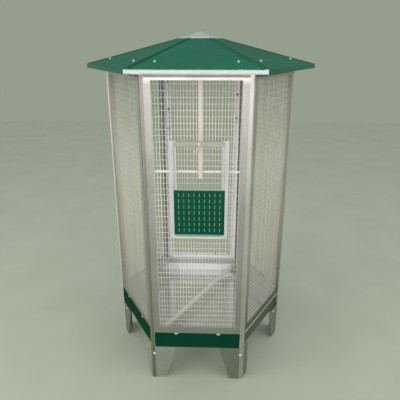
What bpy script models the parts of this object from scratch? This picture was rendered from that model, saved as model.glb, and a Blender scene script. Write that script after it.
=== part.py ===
"""Hexagonal aviary: a six-sided wire cage in folded sheet steel, with a pitched
roof, a lifting door in its front panel and two half-hexagon trays in its floor.

Metres, +Z up, origin on the ground at the middle. The front side faces -Y.
Every side piece is drawn once for the front side and turned about Z by its
side's number times sixty degrees, so one set of sizes shapes all six sides.
A "depth" is measured inwards from the outer plane of a side.
"""
import math

import bmesh
import bpy
from mathutils import Matrix, Vector

# Overall sizes
SIDE = 0.445                # one side of the hexagon, corner to corner
GROUND_TO_SKIRT = 0.190     # height of the feet
SKIRT_HEIGHT = 0.084        # band of tray fronts and skirts
FRAME_HEIGHT = 1.246        # a side panel, from skirt to roof
EAVE_OVERHANG = 0.0771      # roof beyond the side's plane
ROOF_RISE = 0.136           # apex above the eave

# Sheet and gaps
GAP = 0.0003                # between pieces that touch
POST_SHEET = 0.0012
FRAME_SHEET = 0.0010
FOOT_SHEET = 0.0018
TRAY_SHEET = 0.0012
ROOF_SHEET = 0.0010

# Corner posts and feet
POST_FLANGE = 0.014         # each leaf of the corner strip
POST_BELOW_ROOF = 0.006
FOOT_TOP = 0.1175           # width of a foot's wide leaf at its top
FOOT_TOE = 0.0615           # and on the ground; the straight leaf has it all the way up

# Side panels
STILE = 0.0420              # corner to the opening
RAIL_BOTTOM = 0.035
RAIL_TOP = 0.065
RETURN = 0.018              # depth of the frame's folded edge
NET_LAP = 0.012             # net hidden behind the frame
NET_THICK = 0.0034          # two layers of crossing wires
NET_WIRE = 0.0022
NET_COLUMNS = 6
NET_ROWS = 11

# Skirts, trays and the runner between the trays
SKIRT_INSET = 0.010
SKIRT_LIP = 0.016
LIP_END = 0.050             # lip stops short of the corners
TRAY_WALL = 0.046
TRAY_CLEAR = 0.0008         # tray to corner post as it slides
FRONT_SIDE_GAP = 0.0020     # green front to corner post
FRONT_SHEET = 0.0012
TAB_WIDTH = 0.019
TAB_DROP = 0.008
TAB_SPREAD = 0.204          # between the two tabs of a tray
TAB_STEPS = 10
RUNNER_WEB_GAP = 0.0010     # runner's top to each tray's wall
RUNNER_ABOVE_TRAYS = 0.0025
RUNNER_FLANGE = 0.014       # reach under each tray

# Roof
RIDGE_FOLD = 0.012          # folded edge that covers the next segment
EAVE_LIP = 0.017
ROOF_HOLE = 0.030           # under the cap
CAP_REACH = 0.086
CAP_LEAF = 0.090            # width of each leaf at its rim
CAP_NOTCH = 0.070
CAP_SHEET = 0.0012
CAP_PEAK = 0.0022           # extra rise of the cap at its middle

# Lifting door
DOOR_LEFT = -0.111
DOOR_RIGHT = 0.132
DOOR_TOP = 1.2176           # top of the guides
DOOR_SHEET = 0.0010
GUIDE_BACK = 0.0255
GUIDE_FRONT = 0.0125
GUIDE_SLOT = 0.0042         # room for the plate in its guides
TOP_RAIL_TOP = 1.2151
TOP_RAIL = 0.0186
RAIL_JOGGLE = 0.0010        # length of the step in the top rail's back
LEDGE_TOP = 0.8011          # the plate comes down on this ledge
LEDGE_REACH = 0.0246        # forward of the side's plane
LEDGE_LIP = 0.0080
LEDGE_BACK = 0.0120
LEDGE_CHAMFER = 0.0250
PLATE_THICK = 0.0012
PLATE_HEIGHT = 0.2045
PLATE_BACK = 0.0016         # plate's back face, forward of the guide's back flange
PLATE_PLAY = 0.0010         # plate to the guides' webs
SLOT_COLUMNS = 9
SLOT_ROWS = 7
SLOT_PITCH_X = 0.0221
SLOT_PITCH_Z = 0.0270
SLOT_WIDTH = 0.0060
SLOT_HEIGHT = 0.0175
SLOT_CORNER = 0.0020
DOOR_HOLE_MARGIN = 0.0030   # net's hole inside the guides' back flanges

# Hook that holds the plate up
HOOK_X = 0.012
HOOK_WIRE = 0.0022
HOOK_LENGTH = 0.030
HOOK_EYE = 0.0040
HOOK_BOW = 0.0050
HOOK_LEAN = math.radians(28)
HOOK_SIDES = 8
EYE_STEPS = 14
BOW_STEPS = 12
PIN_RADIUS = 0.0024
PIN_HEAD = 0.0046
PIN_HEAD_THICK = 0.0012
PIN_SIDES = 12

# Perch behind the front net, and the hanger strip in the panel's plane
BAR_WIDTH = 0.0166
BAR_X = 0.0150
BAR_BELOW_PERCH = 0.029     # hanger's end below the perch's axis
PERCH_RADIUS = 0.0043
PERCH_Z = 1.087
PERCH_SIDES = 16

# Values that follow from the sizes above
APOTHEM = SIDE * math.sqrt(3) / 2
TAN30 = math.tan(math.radians(30))
SIN60 = math.sin(math.radians(60))
COS60 = 0.5
SKIRT_TOP = GROUND_TO_SKIRT + SKIRT_HEIGHT
FRAME_DEPTH = POST_SHEET + GAP
NET_DEPTH = FRAME_DEPTH + FRAME_SHEET + GAP
EAVE_APOTHEM = APOTHEM + EAVE_OVERHANG
ROOF_SLOPE = ROOF_RISE / EAVE_APOTHEM
ROOF_SHEET_V = ROOF_SHEET * math.hypot(1, ROOF_SLOPE)
GAP_V = GAP * math.hypot(1, ROOF_SLOPE)
FRAME_TOP = SKIRT_TOP + FRAME_HEIGHT
EAVE_Z = FRAME_TOP + GAP_V + ROOF_SHEET_V - ROOF_SLOPE * (EAVE_OVERHANG + FRAME_DEPTH)
APEX_Z = EAVE_Z + ROOF_RISE
OPENING_TOP = FRAME_TOP - RAIL_TOP
OPENING_BOTTOM = SKIRT_TOP + RAIL_BOTTOM
TRAY_EDGE = POST_FLANGE * SIN60 + POST_SHEET * COS60 + TRAY_CLEAR
TRAY_FLOOR_Z = GROUND_TO_SKIRT + GAP + TRAY_SHEET + GAP
RUNNER_TOP = TRAY_FLOOR_Z + TRAY_WALL + RUNNER_ABOVE_TRAYS
GUIDE_BACK_DEPTH = FRAME_DEPTH - GAP
GUIDE_FRONT_DEPTH = GUIDE_BACK_DEPTH - 2 * DOOR_SHEET - GUIDE_SLOT
PLATE_BOTTOM = LEDGE_TOP + GAP

SIDE_NAMES = ("front", "front_right", "rear_right", "rear", "rear_left", "front_left")
CORNER_NAMES = ("front_left", "front_right", "right", "rear_right", "rear_left", "left")
SIDE_TURN = math.radians(60)


def clear_scene():
    for obj in list(bpy.data.objects):
        bpy.data.objects.remove(obj, do_unlink=True)


def material(name, colour, roughness, metallic):
    mat = bpy.data.materials.new(name)
    mat.use_nodes = True
    shader = mat.node_tree.nodes["Principled BSDF"]
    shader.inputs["Base Color"].default_value = (*colour, 1.0)
    shader.inputs["Roughness"].default_value = roughness
    shader.inputs["Metallic"].default_value = metallic
    return mat


FINISHES = {
    "galvanised": ((0.60, 0.61, 0.61), 0.36, 0.85),
    "zinc_wire": ((0.66, 0.66, 0.62), 0.42, 0.75),
    "polished_tray": ((0.58, 0.59, 0.58), 0.16, 0.90),
    "roof_green": ((0.022, 0.150, 0.088), 0.38, 0.0),
    "deep_green": ((0.002, 0.040, 0.020), 0.34, 0.0),
    "pale_rod": ((0.80, 0.78, 0.74), 0.45, 0.2),
}


def add_object(name, mesh, finish, parent=None, turn=0.0, at=(0, 0, 0)):
    """Link a mesh as a named piece with a material of its own."""
    obj = bpy.data.objects.new(name, mesh)
    bpy.context.collection.objects.link(obj)
    obj.parent = parent
    obj.location = at
    obj.rotation_euler.z = turn
    colour, roughness, metallic = FINISHES[finish]
    mesh.materials.clear()
    mesh.materials.append(material(name + "_" + finish, colour, roughness, metallic))
    return obj


def add_empty(name):
    empty = bpy.data.objects.new(name, None)
    bpy.context.collection.objects.link(empty)
    return empty


def finish_mesh(name, bm, smooth_angle=None):
    """Turn a bmesh into a mesh with its faces pointing out."""
    bmesh.ops.recalc_face_normals(bm, faces=bm.faces)
    mesh = bpy.data.meshes.new(name)
    bm.to_mesh(mesh)
    bm.free()
    if smooth_angle:
        mesh.shade_smooth()
        mesh.set_sharp_from_angle(angle=math.radians(smooth_angle))
    return mesh


def depth_y(depth):
    """Y of a point that lies this deep behind the front side's plane."""
    return depth - APOTHEM


def bridge_rings(bm, rings, closed):
    """Join rings of equal length with quads and cap them, or close the chain."""
    count = len(rings[0])
    steps = len(rings) if closed else len(rings) - 1
    for i in range(steps):
        low = rings[i]
        high = rings[(i + 1) % len(rings)]
        for j in range(count):
            k = (j + 1) % count
            bm.faces.new((low[j], low[k], high[k], high[j]))
    if not closed:
        bm.faces.new(rings[0])
        bm.faces.new(rings[-1])


def prism(name, profile, low, high, axis="x"):
    """Extrude a closed profile of (y, z) along X, or of (x, z) along Y."""
    bm = bmesh.new()
    rings = []
    for place in (low, high):
        if axis == "x":
            rings.append([bm.verts.new((place, a, b)) for a, b in profile])
        else:
            rings.append([bm.verts.new((a, place, b)) for a, b in profile])
    bridge_rings(bm, rings, closed=False)
    return finish_mesh(name, bm)


def box_mesh(name, low, high):
    bm = bmesh.new()
    bmesh.ops.create_cube(bm, size=1.0)
    size = Vector(high) - Vector(low)
    middle = (Vector(high) + Vector(low)) / 2
    bmesh.ops.scale(bm, vec=size, verts=bm.verts)
    bmesh.ops.translate(bm, vec=middle, verts=bm.verts)
    return finish_mesh(name, bm)


def corner_x(depth):
    """Half width of a side where its end lies on the corner's bisector."""
    return SIDE / 2 - depth * TAN30


def corner_strip(name, depth, sheet, low, high):
    """A sheet bent 120 degrees round the front left corner; low and high are
    (z, width of the front leaf, width of the left leaf)."""
    bm = bmesh.new()
    corner = Vector((-SIDE / 2, -APOTHEM, 0))
    along_front = Vector((1, 0, 0))
    along_left = Vector((-COS60, SIN60, 0))
    inwards_front = Vector((0, 1, 0))
    inwards_left = Vector((SIN60, COS60, 0))
    inwards = Vector((COS60, SIN60, 0)) / SIN60
    rings = []
    for z, front_width, left_width in (low, high):
        outer_front = corner + along_front * front_width + inwards_front * depth
        outer_left = corner + along_left * left_width + inwards_left * depth
        ring = [
            outer_left,
            corner + inwards * depth,
            outer_front,
            outer_front + inwards_front * sheet,
            corner + inwards * (depth + sheet),
            outer_left + inwards_left * sheet,
        ]
        rings.append([bm.verts.new(p + Vector((0, 0, z))) for p in ring])
    bridge_rings(bm, rings, closed=False)
    return finish_mesh(name, bm)


def frame_mesh(name):
    """Folded panel frame: a flat face round the opening and an edge folded in
    all round, on the corner's bisector at the sides and on the roof's slope
    at the top, so that panels meet face to face and the roof lies flat."""
    back = FRAME_DEPTH + RETURN
    inner = FRAME_DEPTH + FRAME_SHEET
    side_sheet = FRAME_SHEET / math.cos(math.radians(30))
    top_sheet = FRAME_SHEET * math.hypot(1, ROOF_SLOPE)
    outer_x = corner_x(0) - GAP / 2 / math.cos(math.radians(30))
    opening_x = SIDE / 2 - STILE
    # Each fold line as (half width, bottom z, top z, depth)
    folds = [
        (outer_x - FRAME_DEPTH * TAN30, SKIRT_TOP, FRAME_TOP, FRAME_DEPTH),
        (opening_x, OPENING_BOTTOM, OPENING_TOP, FRAME_DEPTH),
        (opening_x, OPENING_BOTTOM, OPENING_TOP, inner),
        (outer_x - inner * TAN30 - side_sheet, SKIRT_TOP + FRAME_SHEET,
         FRAME_TOP + FRAME_SHEET * ROOF_SLOPE - top_sheet, inner),
        (outer_x - back * TAN30 - side_sheet, SKIRT_TOP + FRAME_SHEET,
         FRAME_TOP + RETURN * ROOF_SLOPE - top_sheet, back),
        (outer_x - back * TAN30, SKIRT_TOP, FRAME_TOP + RETURN * ROOF_SLOPE, back),
    ]
    bm = bmesh.new()
    rings = []
    for half, low, high, depth in folds:
        y = depth_y(depth)
        corners = ((-half, low), (half, low), (half, high), (-half, high))
        rings.append([bm.verts.new((x, y, z)) for x, z in corners])
    bridge_rings(bm, rings, closed=True)
    return finish_mesh(name, bm)


def evenly(start, end, parts):
    return [start + (end - start) * i / parts for i in range(parts + 1)]


def net_mesh(name, columns, rows):
    """Welded net: wires centred on the given columns and rows, as one flat lattice."""
    half = NET_WIRE / 2
    xs = [x + d for x in columns for d in (-half, half)]
    zs = [z + d for z in rows for d in (-half, half)]
    bm = bmesh.new()
    verts = [[bm.verts.new((x, depth_y(NET_DEPTH), z)) for z in zs] for x in xs]
    for i in range(len(xs) - 1):
        for j in range(len(zs) - 1):
            if not (i % 2 and j % 2):
                bm.faces.new((verts[i][j], verts[i + 1][j], verts[i + 1][j + 1], verts[i][j + 1]))
    grown = bmesh.ops.extrude_face_region(bm, geom=list(bm.faces), use_keep_orig=True)
    moved = [v for v in grown["geom"] if isinstance(v, bmesh.types.BMVert)]
    bmesh.ops.translate(bm, vec=(0, NET_THICK, 0), verts=moved)
    return finish_mesh(name, bm)


def skirt_mesh(name):
    """Plain band below a panel, with a lip folded in that carries the tray."""
    face = SKIRT_INSET
    inner = face + FRAME_SHEET
    low = GROUND_TO_SKIRT + GAP
    high = SKIRT_TOP - GAP
    lip_top = low + TRAY_SHEET
    lip_half = SIDE / 2 - LIP_END
    end = corner_x(0) - GAP / 2 / math.cos(math.radians(30))
    bm = bmesh.new()
    bottom = [
        (-(end - face * TAN30), face), (end - face * TAN30, face),
        (end - inner * TAN30, inner), (lip_half, inner),
        (-lip_half, inner), (-(end - inner * TAN30), inner),
    ]
    levels = [[bm.verts.new((x, depth_y(d), z)) for x, d in bottom] for z in (low, lip_top, high)]
    bridge_rings(bm, levels, closed=False)
    lip_verts = set(levels[0][3:5] + levels[1][3:5])
    lip_face = [f for f in bm.faces if set(f.verts) == lip_verts]
    grown = bmesh.ops.extrude_discrete_faces(bm, faces=lip_face)
    moved = {v for f in grown["faces"] for v in f.verts}
    bmesh.ops.translate(bm, vec=(0, SKIRT_LIP, 0), verts=list(moved))
    return finish_mesh(name, bm)


def side_normal(number):
    angle = math.radians(-90) + number * SIDE_TURN
    return Vector((math.cos(angle), math.sin(angle)))


def meet(line_a, line_b):
    """Point where two lines, each (normal, distance), cross."""
    (na, da), (nb, db) = line_a, line_b
    det = na.x * nb.y - na.y * nb.x
    return Vector(((da * nb.y - db * na.y) / det, (na.x * db - nb.x * da) / det))


def outline(lines):
    return [meet(lines[i - 1], lines[i]) for i in range(len(lines))]


def tray_mesh(name, lines):
    """Open tray of four walls; lines run round it, each (outward normal, distance)."""
    inner_lines = [(n, d - TRAY_SHEET) for n, d in lines]
    outer = outline(lines)
    inner = outline(inner_lines)
    low = TRAY_FLOOR_Z
    rim = low + TRAY_WALL
    bm = bmesh.new()
    chain = ((outer, low), (outer, rim), (inner, rim), (inner, low + TRAY_SHEET))
    rings = [[bm.verts.new((p.x, p.y, z)) for p in points] for points, z in chain]
    bridge_rings(bm, rings, closed=False)
    return finish_mesh(name, bm)


def tab_mesh(name, depth, top):
    """Small half-round finger tab on a tray's front."""
    profile = []
    for i in range(TAB_STEPS + 1):
        angle = math.pi * i / TAB_STEPS
        profile.append((TAB_WIDTH / 2 * math.cos(angle), top - TAB_DROP * math.sin(angle)))
    low = depth_y(depth - GAP - POST_SHEET)
    return prism(name, profile, low, low + POST_SHEET, axis="y")


def runner_mesh(name, front_cut, rear_cut):
    """Hat section whose top closes the gap between the trays, along +Y, to be
    turned onto the diagonal."""
    sheet = TRAY_SHEET
    low = GROUND_TO_SKIRT + GAP
    web = TRAY_EDGE - RUNNER_WEB_GAP
    reach = TRAY_EDGE + RUNNER_FLANGE
    top = RUNNER_TOP
    over = [(reach, low), (reach, low + sheet), (web, low + sheet), (web, top)]
    under = [(web - sheet, low), (web - sheet, top - sheet)]
    profile = [(-x, z) for x, z in over] + [(x, z) for x, z in reversed(over)]
    profile += under + [(-x, z) for x, z in reversed(under)]
    length = 2 * SIDE - front_cut - rear_cut
    return prism(name, profile, 0.0, length, axis="y")


def roof_z(apothem):
    return APEX_Z - ROOF_SLOPE * apothem


def roof_segment_mesh(name):
    """One sheet of the roof with its eave turned down, and a folded edge on
    its right that rides over the next segment."""
    edge = GAP / 2 / math.cos(math.radians(30))
    eave = EAVE_APOTHEM
    hole = ROOF_HOLE
    under = roof_z(eave - ROOF_SHEET) - ROOF_SHEET_V
    lip = EAVE_Z - EAVE_LIP
    section = [
        (hole, roof_z(hole)), (eave, EAVE_Z), (eave, lip), (eave - ROOF_SHEET, lip),
        (eave - ROOF_SHEET, under), (hole, roof_z(hole) - ROOF_SHEET_V),
    ]
    bm = bmesh.new()
    rings = []
    for side in (-1, 1):
        rings.append([bm.verts.new((side * (a * TAN30 - edge), -a, z)) for a, z in section])
    bridge_rings(bm, rings, closed=False)
    plate = finish_mesh(name, bm)

    fold = ridge_fold_mesh(name + "_fold")
    return union_mesh(name, plate, fold)


def ridge_fold_mesh(name):
    """Bent cover strip along the right-hand ridge, sunk into its own segment
    on the near side and clear of the neighbour on the far side."""
    turn = Matrix.Rotation(SIDE_TURN, 4, "Z")
    low = GAP_V
    high = GAP_V + ROOF_SHEET_V
    sunk = -ROOF_SHEET_V / 2
    bm = bmesh.new()
    rings = []
    for a in (ROOF_HOLE, EAVE_APOTHEM):
        z = roof_z(a)
        half = a * TAN30
        own = [(half - RIDGE_FOLD, sunk), (half - RIDGE_FOLD, high)]
        ring = [Vector((x, -a, z + dz)) for x, dz in own]
        ring.append(Vector((half, -a, z + high)))
        ring.append(turn @ Vector((-half + RIDGE_FOLD, -a, z + high)))
        ring.append(turn @ Vector((-half + RIDGE_FOLD, -a, z + low)))
        ring.append(Vector((half, -a, z + low)))
        near = half - GAP
        ring.append(Vector((near, -a, z + low)))
        ring.append(Vector((near, -a, z + sunk)))
        rings.append([bm.verts.new(p) for p in ring])
    bridge_rings(bm, rings, closed=False)
    return finish_mesh(name, bm)


def union_mesh(name, base, other):
    """Join two overlapping closed meshes into one body."""
    keep = bpy.data.objects.new(name + "_base", base)
    tool = bpy.data.objects.new(name + "_tool", other)
    for obj in (keep, tool):
        bpy.context.collection.objects.link(obj)
    join = keep.modifiers.new("join", "BOOLEAN")
    join.operation = "UNION"
    join.solver = "EXACT"
    join.object = tool
    graph = bpy.context.evaluated_depsgraph_get()
    result = bpy.data.meshes.new_from_object(keep.evaluated_get(graph))
    result.name = name
    for obj in (keep, tool):
        bpy.data.objects.remove(obj, do_unlink=True)
    return result


def cap_mesh(name):
    """Low cap over the hole at the apex: six leaves parallel to the roof, with
    a notch over every ridge."""
    base = GAP_V + ROOF_SHEET_V + GAP_V
    sheet_v = CAP_SHEET * math.hypot(1, ROOF_SLOPE)
    bm = bmesh.new()
    levels = []
    for lift in (base, base + sheet_v):
        ring = []
        for number in range(6):
            turn = Matrix.Rotation(number * SIDE_TURN, 4, "Z")
            rim = roof_z(CAP_REACH) + lift
            notch_apothem = CAP_NOTCH * math.cos(math.radians(30))
            notch = Vector((-CAP_NOTCH / 2, -notch_apothem, roof_z(notch_apothem) + lift))
            ring.append(bm.verts.new(turn @ notch))
            for x in (-CAP_LEAF / 2, CAP_LEAF / 2):
                ring.append(bm.verts.new(turn @ Vector((x, -CAP_REACH, rim))))
        peak = bm.verts.new((0, 0, APEX_Z + lift + CAP_PEAK))
        for i in range(len(ring)):
            bm.faces.new((ring[i], ring[(i + 1) % len(ring)], peak))
        levels.append(ring)
    low, high = levels
    for i in range(len(low)):
        k = (i + 1) % len(low)
        bm.faces.new((low[i], low[k], high[k], high[i]))
    return finish_mesh(name, bm)


def guide_mesh(name, outer_x, inwards):
    """Channel that the plate slides in, open towards the door's middle."""
    back_y = depth_y(GUIDE_BACK_DEPTH)
    front_y = depth_y(GUIDE_FRONT_DEPTH)
    sheet = DOOR_SHEET
    low = PLATE_BOTTOM
    high = DOOR_TOP
    plan = [
        (0, front_y), (GUIDE_FRONT, front_y), (GUIDE_FRONT, front_y + sheet),
        (sheet, front_y + sheet), (sheet, back_y - sheet), (GUIDE_BACK, back_y - sheet),
        (GUIDE_BACK, back_y), (0, back_y),
    ]
    bm = bmesh.new()
    rings = []
    for z in (low, high):
        rings.append([bm.verts.new((outer_x + inwards * x, y, z)) for x, y in plan])
    bridge_rings(bm, rings, closed=False)
    return finish_mesh(name, bm)


def rail_mesh(name, top, front_drop, back_drop, stations):
    """Door rail: a channel with its web on top, lofted through stations of
    (x, front depth, back depth)."""
    sheet = DOOR_SHEET
    bm = bmesh.new()
    rings = []
    for x, front_depth, back_depth in stations:
        front_y = depth_y(front_depth)
        back_y = depth_y(back_depth)
        profile = [
            (front_y, top - front_drop), (front_y, top), (back_y, top), (back_y, top - back_drop),
            (back_y - sheet, top - back_drop), (back_y - sheet, top - sheet),
            (front_y + sheet, top - sheet), (front_y + sheet, top - front_drop),
        ]
        rings.append([bm.verts.new((x, y, z)) for y, z in profile])
    bridge_rings(bm, rings, closed=False)
    return finish_mesh(name, bm)


def top_rail_mesh(name):
    """Rail between the guides' front flanges; its back lies before the guides'
    back flanges and steps back onto the hanger strip between them."""
    near = GUIDE_BACK_DEPTH - DOOR_SHEET - GAP
    front = GUIDE_FRONT_DEPTH
    back = GUIDE_BACK_DEPTH
    left = [DOOR_LEFT + GUIDE_FRONT + GAP, DOOR_LEFT + GUIDE_BACK + GAP, DOOR_LEFT + GUIDE_BACK + RAIL_JOGGLE]
    right = [DOOR_RIGHT - (x - DOOR_LEFT) for x in reversed(left)]
    depths = (near, near, back, back, near, near)
    stations = [(x, front, depth) for x, depth in zip(left + right, depths)]
    return rail_mesh(name, TOP_RAIL_TOP, TOP_RAIL, TOP_RAIL, stations)


def ledge_mesh(name):
    """Bottom rail: a ledge with its front corners cut off, under both guides."""
    stations = [
        (DOOR_LEFT, GUIDE_FRONT_DEPTH, GUIDE_BACK_DEPTH),
        (DOOR_LEFT + LEDGE_CHAMFER, -LEDGE_REACH, GUIDE_BACK_DEPTH),
        (DOOR_RIGHT - LEDGE_CHAMFER, -LEDGE_REACH, GUIDE_BACK_DEPTH),
        (DOOR_RIGHT, GUIDE_FRONT_DEPTH, GUIDE_BACK_DEPTH),
    ]
    return rail_mesh(name, LEDGE_TOP, LEDGE_LIP, LEDGE_BACK, stations)


def slot_rings(x, z, front_y, back_y):
    """Outline of one upright slot with cut corners, on both faces of the plate."""
    w = SLOT_WIDTH / 2
    h = SLOT_HEIGHT / 2
    c = SLOT_CORNER
    points = [(-w + c, -h), (w - c, -h), (w, -h + c), (w, h - c),
              (w - c, h), (-w + c, h), (-w, h - c), (-w, -h + c)]
    return [[(x + a, y, z + b) for a, b in points] for y in (front_y, back_y)]


def plate_mesh(name):
    """Sliding plate with its rows of upright slots."""
    left = DOOR_LEFT + DOOR_SHEET + PLATE_PLAY
    right = DOOR_RIGHT - DOOR_SHEET - PLATE_PLAY
    back = depth_y(GUIDE_BACK_DEPTH) - DOOR_SHEET - PLATE_BACK
    front = back - PLATE_THICK
    low = PLATE_BOTTOM
    high = low + PLATE_HEIGHT
    middle_x = (left + right) / 2
    middle_z = (low + high) / 2
    cell_low_x = middle_x - SLOT_PITCH_X * SLOT_COLUMNS / 2
    cell_low_z = middle_z - SLOT_PITCH_Z * SLOT_ROWS / 2
    holes = []
    for i in range(SLOT_COLUMNS):
        for j in range(SLOT_ROWS):
            holes.append(slot_rings(cell_low_x + SLOT_PITCH_X * (i + 0.5),
                                    cell_low_z + SLOT_PITCH_Z * (j + 0.5), front, back))
    border = [(left, low), (right, low), (right, high), (left, high)]
    bm = bmesh.new()
    for side in (0, 1):
        y = (front, back)[side]
        edges = []
        for ring in [[(x, y, z) for x, z in border]] + [hole[side] for hole in holes]:
            verts = [bm.verts.new(p) for p in ring]
            edges += [bm.edges.new((verts[k - 1], verts[k])) for k in range(len(verts))]
        bmesh.ops.triangle_fill(bm, use_beauty=True, edges=edges)
    bm.verts.ensure_lookup_table()
    counts = [len(border)] + [len(hole[0]) for hole in holes]
    per_side = sum(counts)
    start = 0
    for count in counts:
        for k in range(count):
            a = start + k
            b = start + (k + 1) % count
            bm.faces.new([bm.verts[n] for n in (a, b, b + per_side, a + per_side)])
        start += count
    return finish_mesh(name, bm)


def tube_along(name, points, radius, sides):
    """Round wire along points that lie in the XZ plane, capped at both ends."""
    bm = bmesh.new()
    rings = []
    for i, point in enumerate(points):
        ahead = points[min(i + 1, len(points) - 1)]
        behind = points[max(i - 1, 0)]
        tangent = (ahead - behind).normalized()
        across = tangent.cross(Vector((0, 1, 0)))
        ring = []
        for k in range(sides):
            angle = math.tau * k / sides
            spoke = across * math.cos(angle) + Vector((0, math.sin(angle), 0))
            ring.append(bm.verts.new(point + radius * spoke))
        rings.append(ring)
    bridge_rings(bm, rings, closed=False)
    return finish_mesh(name, bm, smooth_angle=40)


def hook_mesh(name):
    """Wire hook drawn hanging from its eye, which is centred on the origin."""
    eye = arc_points(Vector((0, 0, 0)), HOOK_EYE, 240, -60, EYE_STEPS)
    tail = eye[-1]
    middle = Vector((tail.x - HOOK_BOW, 0, tail.z - HOOK_LENGTH))
    bow = arc_points(middle, HOOK_BOW, 0, -270, BOW_STEPS)
    return tube_along(name, eye + bow, HOOK_WIRE / 2, HOOK_SIDES)


def arc_points(middle, radius, start, end, steps):
    """Points on an arc in the XZ plane, its angles in degrees from +X."""
    points = []
    for degrees in evenly(start, end, steps):
        angle = math.radians(degrees)
        points.append(middle + radius * Vector((math.cos(angle), 0, math.sin(angle))))
    return points


def rod_mesh(name, radius, half_length):
    """Round rod along X."""
    bm = bmesh.new()
    rings = []
    for x in (-half_length, half_length):
        ring = []
        for k in range(PERCH_SIDES):
            angle = math.tau * (k + 0.5) / PERCH_SIDES
            ring.append(bm.verts.new((x, radius * math.cos(angle), radius * math.sin(angle))))
        rings.append(ring)
    bridge_rings(bm, rings, closed=False)
    return finish_mesh(name, bm, smooth_angle=40)


def pin_mesh(name):
    """Rivet through the hook's eye: a shank and a flat head, along Y from the
    origin forwards."""
    length = HOOK_WIRE + 2 * GAP
    profile = [(PIN_RADIUS, 0.0), (PIN_RADIUS, -length),
               (PIN_HEAD, -length), (PIN_HEAD, -length - PIN_HEAD_THICK)]
    bm = bmesh.new()
    rings = []
    for radius, y in profile:
        ring = []
        for k in range(PIN_SIDES):
            angle = math.tau * k / PIN_SIDES
            ring.append(bm.verts.new((radius * math.cos(angle), y, radius * math.sin(angle))))
        rings.append(ring)
    bridge_rings(bm, rings, closed=False)
    return finish_mesh(name, bm, smooth_angle=40)


def build_corners(parts):
    for number, corner in enumerate(CORNER_NAMES):
        turn = number * SIDE_TURN
        top = FRAME_TOP - POST_BELOW_ROOF
        post = corner_strip("corner_post_" + corner, 0.0, POST_SHEET,
                            (0.0, POST_FLANGE, POST_FLANGE), (top, POST_FLANGE, POST_FLANGE))
        add_object("corner_post_" + corner, post, "galvanised", parts, turn)
        # Feet come in mirrored pairs: wide leaves share one side, straight leaves the next
        top_widths = (FOOT_TOP, FOOT_TOE) if number % 2 == 0 else (FOOT_TOE, FOOT_TOP)
        foot = corner_strip("foot_" + corner, FRAME_DEPTH, FOOT_SHEET,
                            (0.0, FOOT_TOE, FOOT_TOE), (GROUND_TO_SKIRT, *top_widths))
        add_object("foot_" + corner, foot, "galvanised", parts, turn)


def net_sizes():
    edge_x = SIDE / 2 - STILE + NET_LAP
    return edge_x, OPENING_BOTTOM - NET_LAP, OPENING_TOP + NET_LAP


def build_panels(parts):
    edge_x, low, high = net_sizes()
    for number, side in enumerate(SIDE_NAMES):
        turn = number * SIDE_TURN
        add_object("panel_frame_" + side, frame_mesh("panel_frame_" + side), "galvanised", parts, turn)
        if side != "front":
            net = net_mesh("net_" + side, evenly(-edge_x, edge_x, NET_COLUMNS), evenly(low, high, NET_ROWS))
            add_object("net_" + side, net, "zinc_wire", parts, turn)


def build_front_net(parts):
    """The front net round the door's way, as four flat areas that meet."""
    edge_x, low, high = net_sizes()
    left, right, bottom, top = door_hole()
    seam = NET_WIRE + GAP
    full = evenly(-edge_x, edge_x, NET_COLUMNS)
    beside = evenly(bottom + seam, top - seam, 2)
    areas = {
        "below_door": (full, evenly(low, bottom, 5)),
        "above_door": (full, evenly(top, high, 4)),
        "left_of_door": (evenly(-edge_x, left, 2), beside),
        "right_of_door": (evenly(right, edge_x, 2), beside),
    }
    for place, (columns, rows) in areas.items():
        name = "net_front_" + place
        add_object(name, net_mesh(name, columns, rows), "zinc_wire", parts)


def door_hole():
    """Rectangle of the door's way through the net, to its wires' centres."""
    wire = NET_WIRE / 2
    return (DOOR_LEFT + GUIDE_BACK - wire, DOOR_RIGHT - GUIDE_BACK + wire,
            LEDGE_TOP - wire, PLATE_BOTTOM + PLATE_HEIGHT - DOOR_HOLE_MARGIN)


def build_skirts(parts):
    for number in (1, 2, 3, 4):
        name = "skirt_" + SIDE_NAMES[number]
        add_object(name, skirt_mesh(name), "galvanised", parts, number * SIDE_TURN)


def front_plate_mesh(name, depth, low, right_gap):
    """Painted tray front between two corner posts. One that lies deeper than
    the posts needs a wider gap on the side that its tray slides towards."""
    post_edge = SIDE / 2 - POST_FLANGE
    return box_mesh(name, (-post_edge + FRONT_SIDE_GAP, depth_y(depth), low),
                    (post_edge - right_gap, depth_y(depth) + FRONT_SHEET, SKIRT_TOP - GAP))


def build_tray(hand, exit_side, wall_sides, front_depth, front_low, diagonal_sign):
    """One half-hexagon tray with its painted front and two finger tabs, on an
    empty that slides along the diagonal."""
    slide = add_empty("tray_%s_slide" % hand)
    across = Vector((-SIN60, COS60)) * diagonal_sign
    wall_depth = front_depth + FRONT_SHEET + GAP
    lines = [(side_normal(exit_side), APOTHEM - wall_depth)]
    lines += [(side_normal(n), APOTHEM - TRAY_EDGE) for n in wall_sides]
    lines.append((across, -TRAY_EDGE))
    if diagonal_sign < 0:
        lines.reverse()
    add_object("tray_" + hand, tray_mesh("tray_" + hand, lines), "polished_tray", slide)
    turn = exit_side * SIDE_TURN
    name = "tray_front_" + hand
    plate = front_plate_mesh(name, front_depth, front_low, FRONT_SIDE_GAP + TAN30 * front_depth)
    add_object(name, plate, "deep_green", slide, turn)
    for number, sign in enumerate((-1, 1), start=1):
        tab = "tray_tab_%s_%d" % (hand, number)
        place = Matrix.Rotation(turn, 3, "Z") @ Vector((sign * TAB_SPREAD / 2, 0, 0))
        add_object(tab, tab_mesh(tab, front_depth, SKIRT_TOP - GAP), "galvanised", slide, turn, place)


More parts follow.
